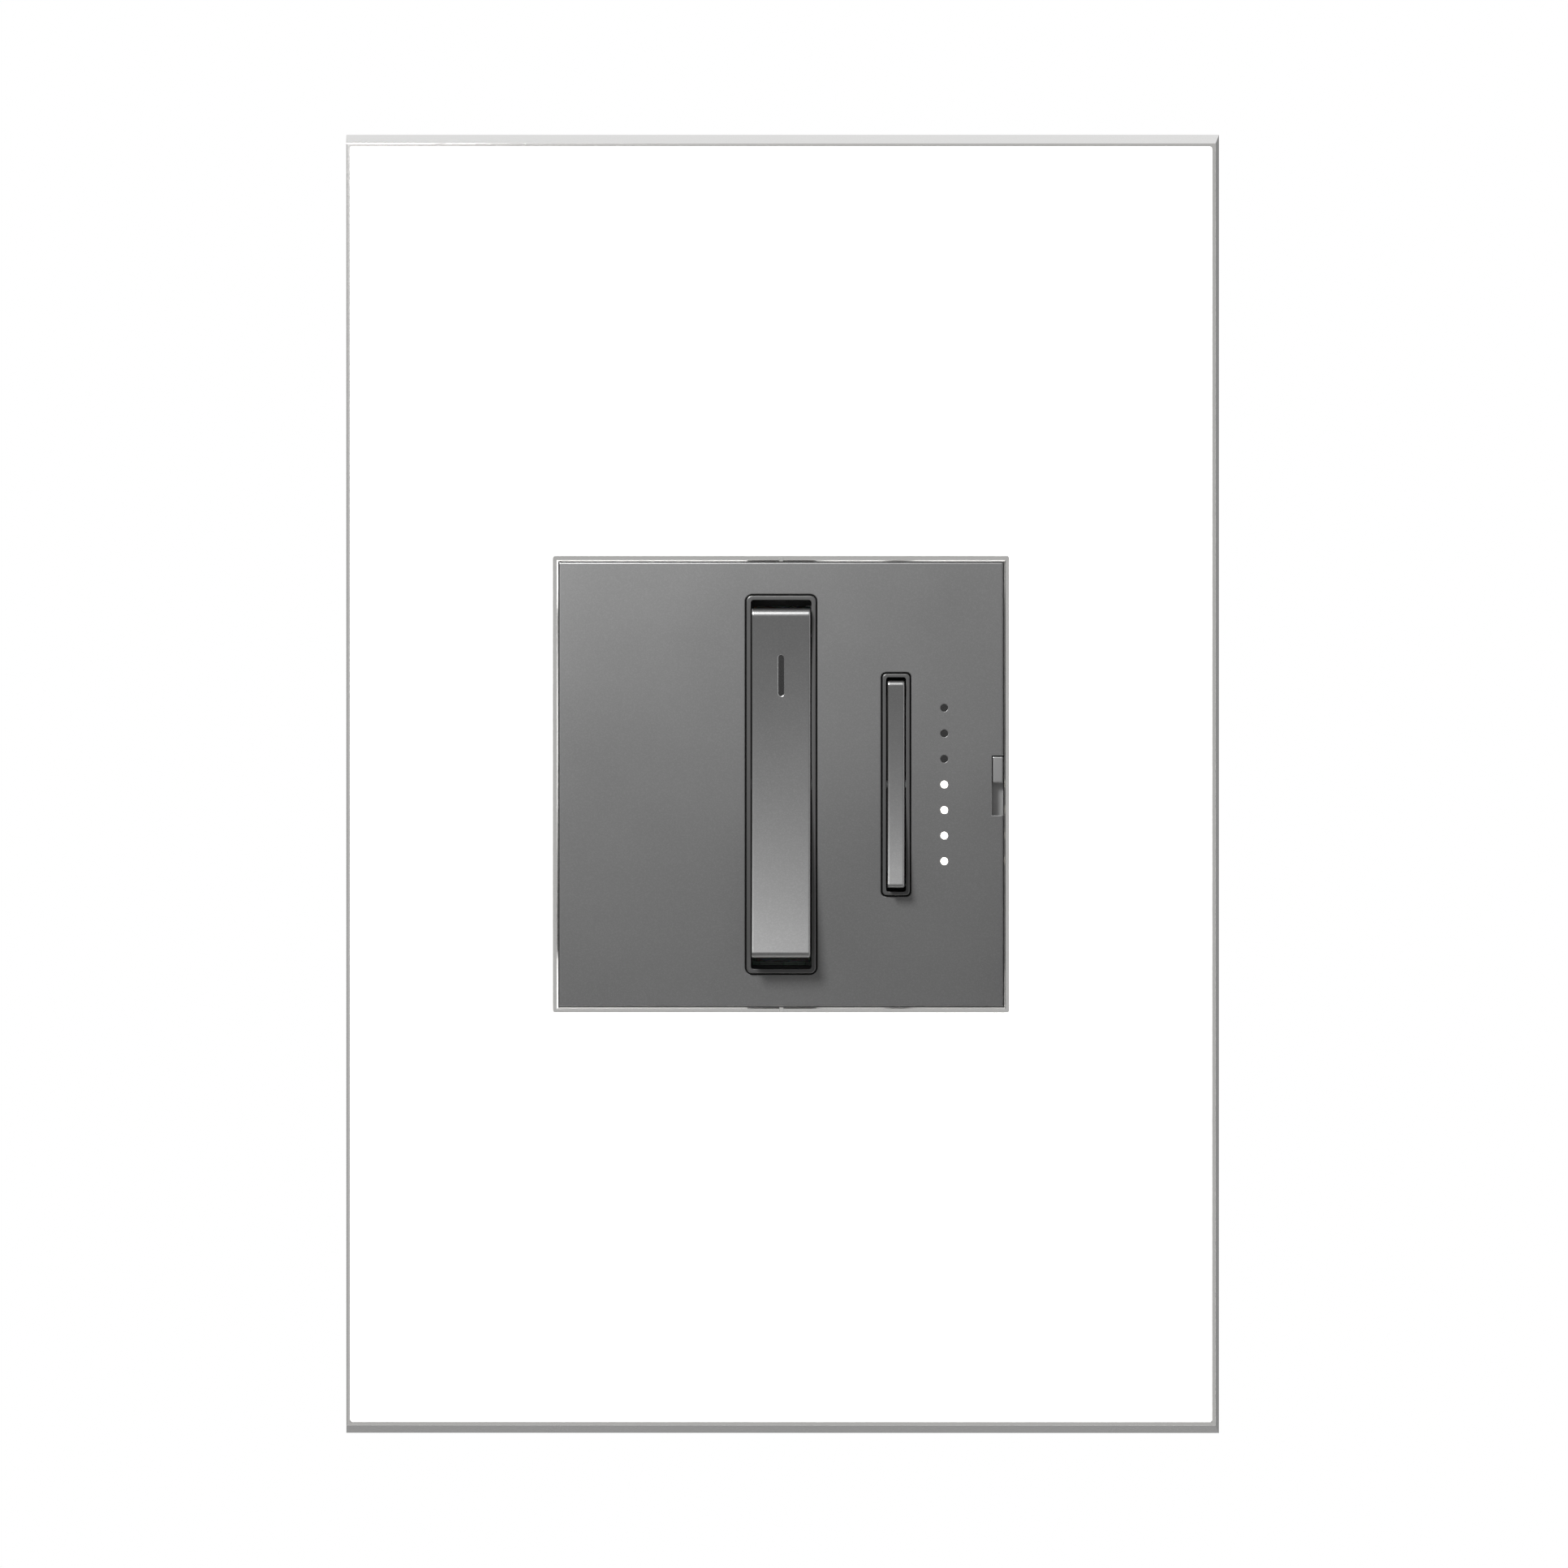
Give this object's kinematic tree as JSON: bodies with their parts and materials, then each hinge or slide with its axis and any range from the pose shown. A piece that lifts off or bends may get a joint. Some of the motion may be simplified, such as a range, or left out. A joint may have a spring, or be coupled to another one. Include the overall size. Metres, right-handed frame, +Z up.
{
  "type": "wall dimmer switch",
  "caption": "Square electronic wall dimmer with an on/off paddle, a level rocker and level lights, in a steel frame behind a two-tone screwless wall plate.",
  "frame": {"origin": "on the wall surface, midway between the two box screws", "axes": "+X right and +Z up as seen from the room, +Y into the wall"},
  "size_m": [0.0876, 0.0478, 0.1304],
  "materials": {
    "panel_white": "polished white moulded plastic",
    "trim_nickel": "satin nickel-coloured coating on moulded plastic",
    "zinc_steel": "zinc-plated steel",
    "face_grey": "satin dark grey moulded plastic with a fine grain",
    "surround_grey": "dark grey moulded plastic",
    "paddle_grey": "satin dark grey moulded plastic",
    "lens_clear": "clear acrylic light pipe",
    "lens_lit": "clear acrylic light pipe, lit",
    "black_plastic": "matt black moulded plastic",
    "frame_black": "black glass-filled nylon",
    "white_nylon": "natural white nylon",
    "silicone": "translucent silicone rubber",
    "steel_pin": "ground steel pin",
    "board_green": "glass-epoxy circuit board with green mask",
    "chip_black": "moulded epoxy",
    "led_body": "white light-emitting diode package",
    "ceramic_brown": "ceramic chip",
    "tin_plate": "tin-plated metal",
    "brass": "brass",
    "silver_contact": "silver-faced copper contact",
    "sheet_grey": "grey insulating sheet",
    "aluminium": "bead-blasted natural aluminium",
    "pad_pink": "thermally conductive silicone pad",
    "ferrite": "iron-powder core",
    "copper_enamel": "enamelled copper wire",
    "film_red": "box film capacitor",
    "can_sleeve": "sleeved aluminium can",
    "varistor_blue": "epoxy-coated disc",
    "fuse_glass": "glass tube fuse",
    "ground_green": "green coated steel",
    "screw_brass": "brass terminal screw",
    "screw_black": "black oxide steel screw",
    "screw_silver": "nickel-plated steel screw"
  },
  "bodies": {
    "base": {"bezel_screws": "screw_silver", "board_link_header": "black_plastic", "board_link_pins": "brass", "box_screws": "screw_silver", "bulk_capacitor": "can_sleeve", "chip_capacitors": "ceramic_brown", "choke_core": "ferrite", "choke_winding": "copper_enamel", "control_board": "board_green", "control_chassis": "frame_black", "crystal": "tin_plate", "dim_rocker_pivot_pin": "steel_pin", "film_capacitor": "film_red", "front_bezel": "face_grey", "fuse": "fuse_glass", "fuse_caps": "tin_plate", "ground_screw": "ground_green", "heat_sink": "aluminium", "housing_screws": "screw_silver", "insulating_sheet": "sheet_grey", "level_leds": "led_body", "level_lens_1": "lens_lit", "level_lens_2": "lens_lit", "level_lens_3": "lens_lit", "level_lens_4": "lens_lit", "level_lens_5": "lens_clear", "level_lens_6": "lens_clear", "level_lens_7": "lens_clear", "light_guide_block": "black_plastic", "line_terminal_screw": "screw_black", "load_terminal_screw": "screw_brass", "locator_led": "led_body", "microcontroller": "chip_black", "mounting_frame": "zinc_steel", "neutral_terminal_screw": "screw_silver", "paddle_pivot_pin": "steel_pin", "paddle_return_domes": "silicone", "paddle_surround": "surround_grey", "power_board": "board_green", "power_transistors": "chip_black", "rear_housing": "black_plastic", "rocker_return_domes": "silicone", "rocker_surround": "surround_grey", "screw_retainers": "white_nylon", "service_contact_posts": "silver_contact", "terminal_clamps": "screw_silver", "terminal_plates": "brass", "thermal_pads": "pad_pink", "transistor_screws": "screw_silver", "traveler_terminal_screw": "screw_brass", "varistor": "varistor_blue", "wall_plate_base": "trim_nickel", "wall_plate_panel": "panel_white"},
    "paddle": {"paddle": "paddle_grey", "paddle_light_pipe": "lens_clear"},
    "dim_rocker": {"dim_rocker": "paddle_grey"},
    "service_slide": {"service_slide": "paddle_grey", "service_contact_bridge": "silver_contact"}
  },
  "joints": [
    {"name": "paddle_rock", "type": "hinge", "parent": "base", "child": "paddle", "pos_m": [0, -0.0054, 0], "axis": [1, 0, 0], "range_deg": [-2.2, 2.2], "stiffness_Nm_per_rad": 0.6, "deforming": ["paddle_return_domes"]},
    {"name": "dim_rocker_rock", "type": "hinge", "parent": "base", "child": "dim_rocker", "pos_m": [0.01152, -0.0054, 0], "axis": [1, 0, 0], "range_deg": [-2.5, 2.5], "stiffness_Nm_per_rad": 0.3, "deforming": ["rocker_return_domes"]},
    {"name": "service_slide_travel", "type": "slide", "parent": "base", "child": "service_slide", "axis": [0, 0, -1], "range_m": [0, 0.0032]}
  ]
}
